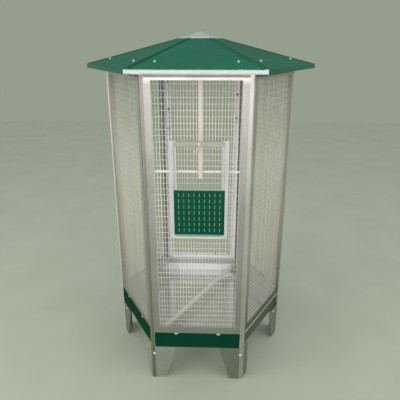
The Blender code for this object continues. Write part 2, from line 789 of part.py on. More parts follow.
def build_trays():
    build_tray("right", 0, (1, 2), 0.0, GROUND_TO_SKIRT, 1)
    build_tray("left", 5, (4, 3), SKIRT_INSET, GROUND_TO_SKIRT + 2 * GAP + TRAY_SHEET, -1)


def build_runner(parts):
    """The fixed hat section that carries both trays' inner edges."""
    reach = TRAY_EDGE + RUNNER_FLANGE
    front_depth = FRAME_DEPTH + 2 * GAP
    rear_depth = SKIRT_INSET + FRAME_SHEET + GAP
    front_cut = (front_depth + reach * COS60) / SIN60
    rear_cut = (rear_depth + reach * COS60) / SIN60
    start = Vector((-SIDE / 2, -APOTHEM, 0)) + Vector((COS60, SIN60, 0)) * front_cut
    add_object("floor_runner", runner_mesh("floor_runner", front_cut, rear_cut), "galvanised",
               parts, math.radians(-30), start)


def build_roof(parts):
    for number, side in enumerate(SIDE_NAMES):
        name = "roof_segment_" + side
        add_object(name, roof_segment_mesh(name), "roof_green", parts, number * SIDE_TURN)
    add_object("roof_cap", cap_mesh("roof_cap"), "galvanised", parts)


def build_door(parts):
    add_object("door_guide_left", guide_mesh("door_guide_left", DOOR_LEFT, 1), "galvanised", parts)
    add_object("door_guide_right", guide_mesh("door_guide_right", DOOR_RIGHT, -1), "galvanised", parts)
    add_object("door_top_rail", top_rail_mesh("door_top_rail"), "galvanised", parts)
    add_object("door_bottom_rail", ledge_mesh("door_bottom_rail"), "galvanised", parts)
    lift = add_empty("door_plate_lift")
    add_object("door_plate", plate_mesh("door_plate"), "deep_green", lift)
    pin_place = Vector((HOOK_X, depth_y(GUIDE_FRONT_DEPTH) - GAP, TOP_RAIL_TOP - TOP_RAIL / 2))
    add_object("hook_pin", pin_mesh("hook_pin"), "galvanised", parts, 0.0, pin_place)
    hook_place = pin_place - Vector((0, GAP + HOOK_WIRE / 2, 0))
    hook = add_object("door_hook", hook_mesh("door_hook"), "zinc_wire", None, 0.0, hook_place)
    hook.rotation_euler.y = HOOK_LEAN


def build_perch(parts):
    """The hanger strip lies in the panel's plane, before the net; the perch
    lies behind the net and ends on the frame's folded edges."""
    bar = box_mesh("perch_hanger", (BAR_X - BAR_WIDTH / 2, depth_y(FRAME_DEPTH), PERCH_Z - BAR_BELOW_PERCH),
                   (BAR_X + BAR_WIDTH / 2, depth_y(FRAME_DEPTH + FRAME_SHEET), OPENING_TOP - GAP))
    add_object("perch_hanger", bar, "pale_rod", parts)
    perch_depth = NET_DEPTH + NET_THICK + GAP + PERCH_RADIUS
    side_sheet = FRAME_SHEET / math.cos(math.radians(30))
    half = corner_x(perch_depth + PERCH_RADIUS) - side_sheet - 2 * GAP
    perch = rod_mesh("perch_rod", PERCH_RADIUS, half)
    add_object("perch_rod", perch, "pale_rod", parts, 0.0, (0, depth_y(perch_depth), PERCH_Z))


def main():
    clear_scene()
    parts = add_empty("aviary")
    build_corners(parts)
    build_panels(parts)
    build_front_net(parts)
    build_skirts(parts)
    build_trays()
    build_runner(parts)
    build_roof(parts)
    build_door(parts)
    build_perch(parts)
    bpy.context.view_layer.update()


main()
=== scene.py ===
import math

import bpy
from mathutils import Matrix, Vector


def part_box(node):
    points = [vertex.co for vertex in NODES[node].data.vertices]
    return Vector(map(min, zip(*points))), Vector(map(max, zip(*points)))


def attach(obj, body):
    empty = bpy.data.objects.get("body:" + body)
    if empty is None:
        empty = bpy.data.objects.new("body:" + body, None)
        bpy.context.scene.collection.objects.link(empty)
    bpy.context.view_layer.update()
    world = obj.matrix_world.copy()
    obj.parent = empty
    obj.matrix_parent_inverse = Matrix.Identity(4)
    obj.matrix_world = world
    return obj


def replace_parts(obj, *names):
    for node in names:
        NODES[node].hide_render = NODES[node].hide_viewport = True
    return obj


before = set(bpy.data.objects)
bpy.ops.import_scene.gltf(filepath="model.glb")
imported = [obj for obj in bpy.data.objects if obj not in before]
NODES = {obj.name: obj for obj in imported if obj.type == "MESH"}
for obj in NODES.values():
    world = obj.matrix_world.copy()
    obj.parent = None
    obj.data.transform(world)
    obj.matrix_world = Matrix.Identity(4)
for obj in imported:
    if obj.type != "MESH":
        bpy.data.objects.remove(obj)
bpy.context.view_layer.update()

# The hexagon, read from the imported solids. A side's number is its place in the names
APOTHEM = -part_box("corner_post_front_left")[0].y
SIDE = APOTHEM * 2 / math.sqrt(3)
SIXTH = math.radians(60)
SIDE_NAMES = ("front", "front_right", "rear_right", "rear", "rear_left", "front_left")
FRONT_LEFT = SIDE_NAMES.index("front_left")
FRONT_NET_AREAS = ("below_door", "above_door", "left_of_door", "right_of_door")

# The photograph's camera, fitted to the hexagon's corners
CAMERA_PLACE = (0.0712, -2.0594, 1.5881)
CAMERA_PITCH = math.radians(20.47)
CAMERA_YAW = math.radians(1.97)
FOCAL_PIXELS = 419.2
IMAGE_PIXELS = 400
SENSOR_MM = 36.0

# Surfaces. A scale is how often its pattern repeats in a metre
EDGE_WIDTH = 0.0026         # worn zinc and painted highlight along folds, drawn wider than real so that it shows
PAINT_EDGE_WIDTH = EDGE_WIDTH * 0.6
EDGE_LIKENESS = (0.995, 0.85)   # true to rounded normal, where the edge wear and painted edge light start and are full
SPANGLE = 2.2               # mm across one zinc crystal of rolled galvanised sheet
TRAY_SPANGLE = 4.0          # mm, the trays' smoother sheet has larger crystals
WIRE_SPANGLE = 2.5
BOLT_SPANGLE = 1.5
CRYSTAL_SHARE = 0.35        # of the tone that follows the crystals, the rest is the drift
DARK_AT, MIDDLE_AT, LIGHT_AT = 0.30, 0.50, 0.72
GLOSS_SPREAD = (0.82, 1.20)     # roughness of dark and light crystals, to the middle one's
DRIFT_SCALE = 9.0           # cloudy drift over zinc, about 110 mm across
WAVE_SCALE, WAVE_DEPTH = 14.0, 0.004        # rolled ripple, about 70 mm long
GRAIN_SCALE, GRAIN_DEPTH = 650.0, 0.0003    # zinc grain of 1.5 mm, coarser than real
GRAIN_STRENGTH = 0.10
FRONT_LIT_FACING = (-0.6, -0.95)  # share of -Y in the normal: none and all of the painted light
OPEN_FACING = (0.3, 0.8)        # share of +Z: none and all of the weathering, and of the tone above the painted shade
UPRIGHT_SHADE_TONE = 0.60         # painted shade: paint on upright faces stays darker
FADE_SCALE = 6.0            # uneven fading of paint, about 170 mm across
SAG_SCALE, SAG_DEPTH = 8.0, 0.004           # slow waves in paint, about 120 mm
PEEL_SCALE, PEEL_DEPTH = 420.0, 0.0004      # orange peel of 2.4 mm, coarser than real
PAINT_BUMP = 0.03
DUST_SCALE = 60.0           # dull patches of dust, about 17 mm
DUST_SPREAD = (0.88, 1.15)  # roughness where there is least and most dust
ROD_STRETCH = (0.06, 1.0, 1.0)  # draw lines run along X
ROD_LINE_SCALE, ROD_LINE_DEPTH = 900.0, 0.0002
ROD_CLOUD_SCALE = 22.0


def linear(hex_colour):
    """sRGB hex to a linear colour for a shader."""
    values = []
    for i in (0, 2, 4):
        c = int(hex_colour[i:i + 2], 16) / 255
        values.append(c / 12.92 if c <= 0.04045 else ((c + 0.055) / 1.055) ** 2.4)
    return (*values, 1.0)


def add_node(tree, kind, links=None, inputs=None, stops=(), **settings):
    """One shader node with its settings, input values and links, and the
    (position, hex) stops of a colour ramp."""
    made = tree.nodes.new(kind)
    for name, value in settings.items():
        setattr(made, name, value)
    for i, (position, colour) in enumerate(stops):
        if i < 2:
            made.color_ramp.elements[i].position = position
        stop = made.color_ramp.elements[i] if i < 2 else made.color_ramp.elements.new(position)
        stop.color = linear(colour)
    for socket, value in (inputs or {}).items():
        made.inputs[socket].default_value = value
    for socket, source in (links or {}).items():
        tree.links.new(source, made.inputs[socket])
    return made


def new_material(name):
    """A material, its node tree, its shader and its Object coordinates."""
    made = bpy.data.materials.new(name)
    made.use_nodes = True
    tree = made.node_tree
    shader = tree.nodes["Principled BSDF"]
    place = add_node(tree, "ShaderNodeTexCoord")
    return made, tree, shader, place.outputs["Object"]


def edge_mask(tree, width):
    """White along folds and cut edges, within the given width, black elsewhere."""
    surface = add_node(tree, "ShaderNodeNewGeometry")
    rounded = add_node(tree, "ShaderNodeBevel", None, {"Radius": width}, samples=4)
    likeness = add_node(tree, "ShaderNodeVectorMath",
                        {0: surface.outputs["Normal"], 1: rounded.outputs["Normal"]},
                        operation="DOT_PRODUCT")
    mask = add_node(tree, "ShaderNodeMapRange", {"Value": likeness.outputs["Value"]},
                    {"From Min": EDGE_LIKENESS[0], "From Max": EDGE_LIKENESS[1]})
    return mask.outputs["Result"]


def facing_mask(tree, axis, none, full):
    """Black to white as the normal's share of an axis goes from none to full."""
    surface = add_node(tree, "ShaderNodeNewGeometry")
    facing = add_node(tree, "ShaderNodeSeparateXYZ", {"Vector": surface.outputs["True Normal"]})
    mask = add_node(tree, "ShaderNodeMapRange", {"Value": facing.outputs[axis]},
                    {"From Min": none, "From Max": full})
    return mask.outputs["Result"]


def height_mask(tree, place, none, full):
    """Black to white up or down the piece, from one height to the other."""
    parts = add_node(tree, "ShaderNodeSeparateXYZ", {"Vector": place})
    mask = add_node(tree, "ShaderNodeMapRange", {"Value": parts.outputs["Z"]},
                    {"From Min": none, "From Max": full})
    return mask.outputs["Result"]


def zinc_sheet(name, tones, roughness, metallic, spangle_mm=SPANGLE, ripple=0.12,
               edge=None, wall=None, bands=()):
    """Hot-dip galvanised sheet: zinc crystals a few millimetres wide that differ
    a little in tone and gloss, soft cloudy drift, and a faint rolled ripple.
    The tones are dark, middle and light. The edge colour is brighter zinc along folds and cuts:
    wear, with painted highlight. A wall, as (colour, roughness, metallic), is painted light: a
    whiter, matt tone on the upright faces towards the front. Bands are (height with none, height
    with all, strength, colour, blending) laid over the sheet as painted shade and painted
    highlight."""
    made, tree, shader, place = new_material(name)
    crystals = add_node(tree, "ShaderNodeTexVoronoi", {"Vector": place},
                        {"Scale": 1000 / spangle_mm, "Randomness": 1.0}, feature="F1")
    drift = add_node(tree, "ShaderNodeTexNoise", {"Vector": place},
                     {"Scale": DRIFT_SCALE, "Detail": 5.0, "Roughness": 0.6})
    grey = add_node(tree, "ShaderNodeSeparateColor", {"Color": crystals.outputs["Color"]})
    blend = add_node(tree, "ShaderNodeMix",
                     {"A": drift.outputs["Fac"], "B": grey.outputs["Red"]},
                     {"Factor": CRYSTAL_SHARE}, data_type="FLOAT")
    dark, middle, light = tones
    colour = add_node(tree, "ShaderNodeValToRGB", {"Fac": blend.outputs["Result"]},
                      stops=((DARK_AT, dark), (LIGHT_AT, light), (MIDDLE_AT, middle)))
    gloss = add_node(tree, "ShaderNodeMapRange", {"Value": blend.outputs["Result"]},
                     {"From Min": 0.3, "From Max": 0.7,
                      "To Min": roughness * GLOSS_SPREAD[0],
                      "To Max": roughness * GLOSS_SPREAD[1]})
    tone, shine = colour.outputs["Color"], gloss.outputs["Result"]
    shader.inputs["Metallic"].default_value = metallic
    # Painted light: upright faces towards the front are made whiter, matt and less metallic
    if wall:
        wall_colour, wall_roughness, wall_metallic = wall
        upright = facing_mask(tree, "Y", *FRONT_LIT_FACING)
        tone = add_node(tree, "ShaderNodeMix", {"Factor": upright, "A": tone},
                        {"B": linear(wall_colour)}, data_type="RGBA").outputs["Result"]
        shine = add_node(tree, "ShaderNodeMix", {"Factor": upright, "A": shine},
                         {"B": wall_roughness}, data_type="FLOAT").outputs["Result"]
        metal = add_node(tree, "ShaderNodeMapRange", {"Value": upright},
                         {"To Min": metallic, "To Max": wall_metallic})
        tree.links.new(metal.outputs["Result"], shader.inputs["Metallic"])
    # Painted shade and painted highlight, laid on in bands by height
    for none, full, strength, band_colour, blending in bands:
        share = add_node(tree, "ShaderNodeMath", {0: height_mask(tree, place, none, full)},
                         {1: strength}, operation="MULTIPLY")
        tone = add_node(tree, "ShaderNodeMix", {"Factor": share.outputs["Value"], "A": tone},
                        {"B": linear(band_colour)}, data_type="RGBA",
                        blend_type=blending).outputs["Result"]
    # Edge colour: wear along folds and cuts, with painted highlight
    if edge:
        edge_wear_and_light = edge_mask(tree, EDGE_WIDTH)
        tone = add_node(tree, "ShaderNodeMix", {"Factor": edge_wear_and_light, "A": tone},
                        {"B": linear(edge)}, data_type="RGBA").outputs["Result"]
    tree.links.new(tone, shader.inputs["Base Color"])
    tree.links.new(shine, shader.inputs["Roughness"])
    wave = add_node(tree, "ShaderNodeTexNoise", {"Vector": place},
                    {"Scale": WAVE_SCALE, "Detail": 2.0, "Roughness": 0.4})
    grain = add_node(tree, "ShaderNodeTexNoise", {"Vector": place},
                     {"Scale": GRAIN_SCALE, "Detail": 3.0, "Roughness": 0.55})
    wave_bump = add_node(tree, "ShaderNodeBump", {"Height": wave.outputs["Fac"]},
                         {"Strength": ripple, "Distance": WAVE_DEPTH})
    grain_bump = add_node(tree, "ShaderNodeBump",
                          {"Height": grain.outputs["Fac"],
                           "Normal": wave_bump.outputs["Normal"]},
                          {"Strength": GRAIN_STRENGTH, "Distance": GRAIN_DEPTH})
    tree.links.new(grain_bump.outputs["Normal"], shader.inputs["Normal"])
    return made


def painted_sheet(name, low, high, edge, weathered, upright, specular):
    """Oven-baked enamel on sheet steel: an even green with a slight orange peel. Weathered is the
    roughness of faces that lie open to the sky, upright that of the others, which can keep their
    gloss, so that a lip flashes in the light while the slope stays deep green. Upright faces are
    painted darker, as painted shade. The edge colour along folds and cuts is wear, with painted
    highlight where it is light and painted shade where it is dark."""
    made, tree, shader, place = new_material(name)
    fading = add_node(tree, "ShaderNodeTexNoise", {"Vector": place},
                      {"Scale": FADE_SCALE, "Detail": 6.0, "Roughness": 0.62})
    colour = add_node(tree, "ShaderNodeValToRGB", {"Fac": fading.outputs["Fac"]},
                      stops=((0.32, low), (0.70, high)))
    # Edge colour: wear along folds and cuts, with painted highlight on light edges and painted
    # shade on dark ones
    edge_wear_and_light = edge_mask(tree, PAINT_EDGE_WIDTH)
    edge_toned = add_node(tree, "ShaderNodeMix",
                      {"Factor": edge_wear_and_light, "A": colour.outputs["Color"]},
                      {"B": linear(edge)}, data_type="RGBA")
    # Painted shade: upright faces are made darker than those open to the sky
    open_sky = facing_mask(tree, "Z", *OPEN_FACING)
    upright_shade = add_node(tree, "ShaderNodeMapRange", {"Value": open_sky},
                     {"To Min": UPRIGHT_SHADE_TONE, "To Max": 1.0})
    shaded = add_node(tree, "ShaderNodeVectorMath",
                      {0: edge_toned.outputs["Result"], 1: upright_shade.outputs["Result"]},
                      operation="MULTIPLY")
    tree.links.new(shaded.outputs["Vector"], shader.inputs["Base Color"])
    peel = add_node(tree, "ShaderNodeTexNoise", {"Vector": place},
                    {"Scale": PEEL_SCALE, "Detail": 2.0, "Roughness": 0.5})
    sag = add_node(tree, "ShaderNodeTexNoise", {"Vector": place},
                   {"Scale": SAG_SCALE, "Detail": 1.0, "Roughness": 0.4})
    sag_bump = add_node(tree, "ShaderNodeBump", {"Height": sag.outputs["Fac"]},
                        {"Strength": PAINT_BUMP, "Distance": SAG_DEPTH})
    peel_bump = add_node(tree, "ShaderNodeBump",
                         {"Height": peel.outputs["Fac"], "Normal": sag_bump.outputs["Normal"]},
                         {"Strength": PAINT_BUMP, "Distance": PEEL_DEPTH})
    tree.links.new(peel_bump.outputs["Normal"], shader.inputs["Normal"])
    dullness = add_node(tree, "ShaderNodeMapRange", {"Value": open_sky},
                        {"To Min": upright, "To Max": weathered})
    dust = add_node(tree, "ShaderNodeTexNoise", {"Vector": place},
                    {"Scale": DUST_SCALE, "Detail": 4.0, "Roughness": 0.7})
    patchy = add_node(tree, "ShaderNodeMapRange", {"Value": dust.outputs["Fac"]},
                      {"From Min": 0.35, "From Max": 0.7,
                       "To Min": DUST_SPREAD[0], "To Max": DUST_SPREAD[1]})
    gloss = add_node(tree, "ShaderNodeMath",
                     {0: dullness.outputs["Result"], 1: patchy.outputs["Result"]},
                     operation="MULTIPLY")
    tree.links.new(gloss.outputs["Value"], shader.inputs["Roughness"])
    shader.inputs["Metallic"].default_value = 0.0
    shader.inputs["Specular IOR Level"].default_value = specular
    return made


def smooth_plastic(name, low, high, roughness):
    """Extruded white PVC rod: nearly even, with faint draw lines along it."""
    made, tree, shader, place = new_material(name)
    stretch = add_node(tree, "ShaderNodeMapping", {"Vector": place}, {"Scale": ROD_STRETCH})
    lines = add_node(tree, "ShaderNodeTexNoise", {"Vector": stretch.outputs["Vector"]},
                     {"Scale": ROD_LINE_SCALE, "Detail": 2.0, "Roughness": 0.5})
    cloud = add_node(tree, "ShaderNodeTexNoise", {"Vector": place},
                     {"Scale": ROD_CLOUD_SCALE, "Detail": 3.0})
    colour = add_node(tree, "ShaderNodeValToRGB", {"Fac": cloud.outputs["Fac"]},
                      stops=((0.35, low), (0.65, high)))
    tree.links.new(colour.outputs["Color"], shader.inputs["Base Color"])
    bump = add_node(tree, "ShaderNodeBump", {"Height": lines.outputs["Fac"]},
                    {"Strength": 0.10, "Distance": ROD_LINE_DEPTH})
    tree.links.new(bump.outputs["Normal"], shader.inputs["Normal"])
    shader.inputs["Roughness"].default_value = roughness
    return made


# Bands, heights in metres: painted shade and green painted reflection near the ground, deeper
# painted shade low on the frame away from the light, a painted highlight strip under the eave,
# and above it painted shade under the eave
PAINTED_GROUND_SHADE = (1.25, 0.22, 0.62, "A6B6A0", "MULTIPLY")
PAINTED_LOW_SHADE = (0.60, 0.28, 0.90, "7F8974", "MULTIPLY")
PAINTED_TOP_HIGHLIGHT = (1.438, 1.455, 0.66, "F6EEEE", "MIX")
PAINTED_EAVE_SHADE = (1.4640, 1.4675, 0.85, "8A7F81", "MULTIPLY")
FRAME_TONES = ("AFA9A6", "B9B3B0", "C3BEBC")

# Folded sheet of the frames: warm grey metal, greyer and greener down by the ground as painted
# shade and painted reflection, with painted shade under the eave
GALVANISED = zinc_sheet("galvanised_sheet", FRAME_TONES, roughness=0.46, metallic=0.85,
                        edge="DAD6CE", bands=(PAINTED_GROUND_SHADE, PAINTED_EAVE_SHADE))
# The front frame: the same, with a painted highlight strip under the eave
FRONT_FRAME = zinc_sheet("front_frame_sheet", FRAME_TONES, roughness=0.46, metallic=0.85,
                         edge="DAD6CE", bands=(PAINTED_GROUND_SHADE, PAINTED_TOP_HIGHLIGHT, PAINTED_EAVE_SHADE))
# The frame away from the light: the same sheet painted duller as painted shade, almost olive at
# its foot with deeper painted shade
SHADED_FRAME = zinc_sheet("shaded_galvanised_sheet", ("A29F98", "ACA9A2", "B6B3AC"),
                          roughness=0.46, metallic=0.85, edge="CFCDC2",
                          bands=(PAINTED_LOW_SHADE, PAINTED_EAVE_SHADE))
# The dull corner strip: painted shade, darker than the frame beside it, so that the post stands
# out
SHADED_STRIP = zinc_sheet("shaded_corner_strip", ("8F8B84", "98948C", "A19E96"),
                        roughness=0.46, metallic=0.85, edge="D6D4C8", bands=(PAINTED_GROUND_SHADE,))
# Bright corner strips: painted highlight, a light line between the frames on the right
HIGHLIT_STRIP = zinc_sheet("highlit_corner_strip", ("C3BBBA", "CDC6C4", "D6D0CE"),
                         roughness=0.44, metallic=0.80, edge="EDE9E2", bands=(PAINTED_GROUND_SHADE,))
# The strip at the far left: painted light, the palest of them, as it faces the light
LIT_STRIP_POST = zinc_sheet("lit_corner_strip", ("CFC7C7", "D8D0D1", "E1DADB"),
                             roughness=0.44, metallic=0.30, edge="F0ECE8",
                             bands=(PAINTED_GROUND_SHADE,))
# Rear frame: plain zinc outside, and painted light on the faces towards the front, which are
# white-lavender and matt
INNER_ZINC = zinc_sheet("rear_sheet_lit_front_faces", FRAME_TONES, roughness=0.46, metallic=0.85,
                        edge="F0EFF2", wall=("FCFCFF", 0.50, 0.02))
# Door guides and rear side frames: cool, light, rather matt strip with bright cut edges, wear and
# painted highlight
DOOR_ZINC = zinc_sheet("planished_door_strip", ("B4AEB1", "BEB9BB", "C8C4C6"),
                       roughness=0.42, metallic=0.35, ripple=0.10, edge="F4F5F4")
# Front mesh: cream-coloured wire that stands out against the inside
ZINC_WIRE = zinc_sheet("galvanised_wire", ("D6D4C2", "DFDDCD", "E8E6D8"),
                       roughness=0.45, metallic=0.15, spangle_mm=WIRE_SPANGLE, ripple=0.0)
# Side meshes: satin wire, a shade greyer as painted shade
SHADED_WIRE = zinc_sheet("shaded_satin_galvanised_wire", ("BDBBAB", "C7C5B6", "D1CFC1"),
                       roughness=0.45, metallic=0.15, spangle_mm=WIRE_SPANGLE, ripple=0.0)
# Rear meshes: dull olive-grey wire that stays behind the front one
DARK_REAR_WIRE = zinc_sheet("dark_olive_galvanised_wire", ("8E8D7D", "989787", "A2A191"),
                      roughness=0.50, metallic=0.15, spangle_mm=WIRE_SPANGLE, ripple=0.0)
# Trays: a floor that mirrors the rear frame softly, and painted light making the walls towards
# the front white and matt
TRAY_ZINC = zinc_sheet("tray_zinc", ("D9D8D9", "E1E0E1", "E8E7E8"), roughness=0.14,
                       metallic=0.76, spangle_mm=TRAY_SPANGLE, ripple=0.10,
                       edge="E4E2DC", wall=("FAFAFF", 0.45, 0.02))
# The runner between the trays: a paler, rubbed band
RUNNER_ZINC = zinc_sheet("tray_runner_zinc", ("D3CFC6", "DCD8D0", "E4E1DA"),
                         roughness=0.38, metallic=0.35, edge="E6E3D6")
# Feet: flat green-grey plate, duller than the frames above it
FOOT_ZINC = zinc_sheet("dull_galvanised_plate", ("959E91", "9EA69A", "A7AFA3"),
                       roughness=0.48, metallic=0.75, ripple=0.10, edge="C3CDBD")
# The front right foot: the same plate, painted darker as painted shade
SHADED_FOOT = zinc_sheet("shaded_galvanised_plate", ("737C6D", "7B8475", "838C7D"),
                          roughness=0.48, metallic=0.75, ripple=0.10, edge="AEB8A8")
# The feet at the sides: painted shade between the two, as they are turned from the light
SIDE_FOOT = zinc_sheet("side_shaded_galvanised_plate", ("78806F", "808878", "889080"),
                       roughness=0.48, metallic=0.75, ripple=0.10, edge="AEB8A8")
# The band below the right frame: a dark stripe of painted shade
SKIRT_ZINC = zinc_sheet("shaded_galvanised_band", ("565D52", "5E655A", "666D62"),
                        roughness=0.48, metallic=0.80, ripple=0.10, edge="8F9888")
# Folded rims of the bands: a thin line painted bright under the frames, as painted highlight
RIM_ZINC = zinc_sheet("highlit_folded_rim", ("C9CDBC", "D2D6C5", "DADECE"),
                      roughness=0.42, metallic=0.20, ripple=0.05)
# The door's ledge: pale mint, a painted reflection of the green plate, with a near-white lip as
# painted highlight
LEDGE_ZINC = zinc_sheet("ledge_fold_painted_reflection", ("AFBEB1", "B9C7BB", "C3D0C5"),
                        roughness=0.40, metallic=0.20, ripple=0.08, edge="E8EBE2")
# Roof cap: light grey with rims painted bright as highlights
CAP_ZINC = zinc_sheet("ridge_cap_zinc", ("A3AA9F", "ACB3A8", "B6BDB2"),
                      roughness=0.40, metallic=0.15, ripple=0.10, edge="F4F6F2")
# Foot bolts, tabs and hook: small glints
BRIGHT_ZINC = zinc_sheet("zinc_plated_bolt", ("C4C6C4", "DADCD9", "EDEEEB"),
                         roughness=0.30, metallic=0.60, spangle_mm=BOLT_SPANGLE, ripple=0.0)
# Roof bolts: minty dots, paler than the slope, their green a painted reflection of it
ROOF_BOLT_ZINC = zinc_sheet("bolt_painted_green_reflection", ("9CC4B2", "AFD3C3", "C2E0D3"),
                            roughness=0.34, metallic=0.30, spangle_mm=BOLT_SPANGLE,
                            ripple=0.0)
# Rivets of the rear frame: dark specks on the pale sheet, painted dark as the shade in their
# holes
RIVET_STEEL = zinc_sheet("rivet_steel_painted_shade", ("333434", "3E3F3E", "4A4B4A"),
                         roughness=0.50, metallic=0.60, spangle_mm=BOLT_SPANGLE, ripple=0.0)
# The perch's hanger: flat, pale and pinkish
PALE_STRIP = zinc_sheet("pale_zinc_strip", ("B6ABA1", "BEB4AA", "C5BCB3"),
                        roughness=0.42, metallic=0.05, spangle_mm=TRAY_SPANGLE, ripple=0.10)
# Roof enamel: mid green, upright faces painted darker as painted shade, edges painted dark for
# the shade and dirt in the overlaps, and lips that flash in the light
ROOF_GREEN = painted_sheet("roof_green_enamel", "11604A", "186852", edge="0E4030",
                           weathered=0.55, upright=0.05, specular=0.18)
# Seams of the roof: a nearly black line down each ridge, the painted shadow under the fold
SEAM_GREEN = painted_sheet("roof_seam_painted_shadow", "02281D", "042E23", edge="063428",
                           weathered=0.60, upright=0.50, specular=0.04)
# The right tray's front: nearly black-green with a slight sheen
TRAY_GREEN = painted_sheet("tray_green_enamel", "003F2C", "014836", edge="2F6F58",
                           weathered=0.45, upright=0.40, specular=0.07)
# The left tray's front: the same green, matt, as it is turned towards the light
SIDE_GREEN = painted_sheet("shaded_tray_green_enamel", "033A26", "05422C", edge="2F6F58",
                           weathered=0.60, upright=0.60, specular=0.02)
# The door plate: deep green, a little lighter than the trays' fronts
DOOR_GREEN = painted_sheet("door_green_enamel", "04553A", "0A5F47", edge="458A70",
                           weathered=0.45, upright=0.40, specular=0.08)
# The perch: clean white plastic
WHITE_ROD = smooth_plastic("white_pvc_rod", "EAE9E1", "F2F1EB", roughness=0.38)

# The first of these that a node's name starts with gives its finish. The other
# nodes are of plain galvanised sheet
NODE_FINISH = {
    "panel_frame_rear_": DOOR_ZINC,
    "panel_frame_rear": INNER_ZINC,
    "panel_frame_front_right": SHADED_FRAME,
    "panel_frame_front_left": GALVANISED,
    "panel_frame_front": FRONT_FRAME,
    "corner_post_front_left": SHADED_STRIP,
    "corner_post_front_right": HIGHLIT_STRIP,
    "corner_post_left": LIT_STRIP_POST,
    "corner_post_right": HIGHLIT_STRIP,
    "foot_front_right": SHADED_FOOT,
    "foot_": FOOT_ZINC,
    "skirt_front_right": SKIRT_ZINC,
    "skirt_": DOOR_ZINC,
    "floor_runner": RUNNER_ZINC,
    "roof_cap": CAP_ZINC,
    "roof_segment_": ROOF_GREEN,
    "tray_front_": TRAY_GREEN,
    "tray_tab": BRIGHT_ZINC,
    "tray_right": TRAY_ZINC,
    "tray_left": TRAY_ZINC,
    "door_guide": DOOR_ZINC,
    "door_top_rail": SHADED_FRAME,
    "door_bottom_rail": LEDGE_ZINC,
    "hook_pin": BRIGHT_ZINC,
    "perch_hanger": PALE_STRIP,
}


def dress_nodes():
    """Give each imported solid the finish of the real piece."""
    for name, node in NODES.items():
        finish = GALVANISED
        for start, material in NODE_FINISH.items():
            if name.startswith(start):
                finish = material
                break
        node.data.materials.clear()
        node.data.materials.append(finish)


def nothing_selected():
    """Object mode with everything deselected."""
    if bpy.context.object and bpy.context.object.mode != "OBJECT":
        bpy.ops.object.mode_set(mode="OBJECT")
    bpy.ops.object.select_all(action="DESELECT")


def only(obj):
    """One object selected and active."""
    nothing_selected()
    obj.select_set(True)
    bpy.context.view_layer.objects.active = obj


def apply_place(obj):
    """Move the object's place, turn and scale into its mesh."""
    only(obj)
    bpy.ops.object.transform_apply(location=True, rotation=True, scale=True)


def deselect_mesh():
    """Nothing selected inside the active mesh, faces, edges and corners alike."""
    bpy.ops.object.mode_set(mode="EDIT")
    bpy.ops.mesh.select_all(action="DESELECT")
    bpy.ops.object.mode_set(mode="OBJECT")


def block(middle, size):
    """A plain box with square edges."""
    nothing_selected()
    bpy.ops.mesh.primitive_cube_add(size=1.0, location=middle)
    made = bpy.context.object
    made.scale = size
    apply_place(made)
    return made


def round_edges(obj, width, segments=2):
    """Round the object's sharp edges."""
    only(obj)
    rounding = obj.modifiers.new("rounding", "BEVEL")
    rounding.width = width
    rounding.segments = segments
    rounding.limit_method = "ANGLE"
    bpy.ops.object.modifier_apply(modifier=rounding.name)


def smooth_below(obj, degrees):
    """Smooth shading across edges flatter than the angle, sharp ones kept."""
    only(obj)
    bpy.ops.object.shade_smooth_by_angle(angle=math.radians(degrees))


def repeat(obj, count, step):
    """Copies of a piece in a row, a fixed step apart, in the same mesh."""
    only(obj)
    row = obj.modifiers.new("row", "ARRAY")
    row.use_relative_offset = False
    row.use_constant_offset = True
    row.constant_offset_displace = step
    row.count = count
    bpy.ops.object.modifier_apply(modifier=row.name)
    return obj


def join_as(name, pieces):
    """Join the pieces' meshes into one object."""
    nothing_selected()
    for piece in pieces:
        piece.select_set(True)
    bpy.context.view_layer.objects.active = pieces[0]
    bpy.ops.object.join()
    joined = bpy.context.object
    joined.name = name
    joined.data.name = name
    return joined


def own_copy(source, name):
    """A copy of a piece with a mesh of its own."""
    made = source.copy()
    made.data = source.data.copy()
    made.name = name
    bpy.context.collection.objects.link(made)
    return made


def merged_copy(node, name):
    """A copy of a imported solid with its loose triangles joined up."""
    made = bpy.data.objects.new(name, NODES[node].data.copy())
    bpy.context.collection.objects.link(made)
    only(made)
    bpy.ops.object.mode_set(mode="EDIT")
    bpy.ops.mesh.select_all(action="SELECT")
    bpy.ops.mesh.remove_doubles(threshold=0.00001)
    bpy.ops.object.mode_set(mode="OBJECT")
    return made


def turned_outwards(obj):
    """Recalculate the normals, as after mirroring."""
    only(obj)
    bpy.ops.object.mode_set(mode="EDIT")
    bpy.ops.mesh.select_all(action="SELECT")
    bpy.ops.mesh.normals_make_consistent(inside=False)
    bpy.ops.object.mode_set(mode="OBJECT")
    return obj


def turned_to_side(obj, number):
    """Turn a piece made for the front side onto another side of the hexagon."""
    only(obj)
    obj.rotation_euler.z = number * SIXTH
    apply_place(obj)
    return obj


def around(pieces, name):
    """The same pieces on all six sides, as one object."""
    everything = []
    for number in range(len(SIDE_NAMES)):
        for piece in pieces:
            everything.append(turned_to_side(own_copy(piece, name), number))
    for piece in pieces:
        bpy.data.objects.remove(piece, do_unlink=True)
    return join_as(name, everything)


def placed_copy(source, name, place, facing):
    """A copy of a piece, its +Z turned to face outwards."""
    made = own_copy(source, name)
    made.location = place
    made.rotation_euler = Vector((0, 0, 1)).rotation_difference(Vector(facing)).to_euler()
    apply_place(made)
    return made


def box_middle(node):
    """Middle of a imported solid's box."""
    low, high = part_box(node)
    return Vector([(a + b) / 2 for a, b in zip(low, high)])


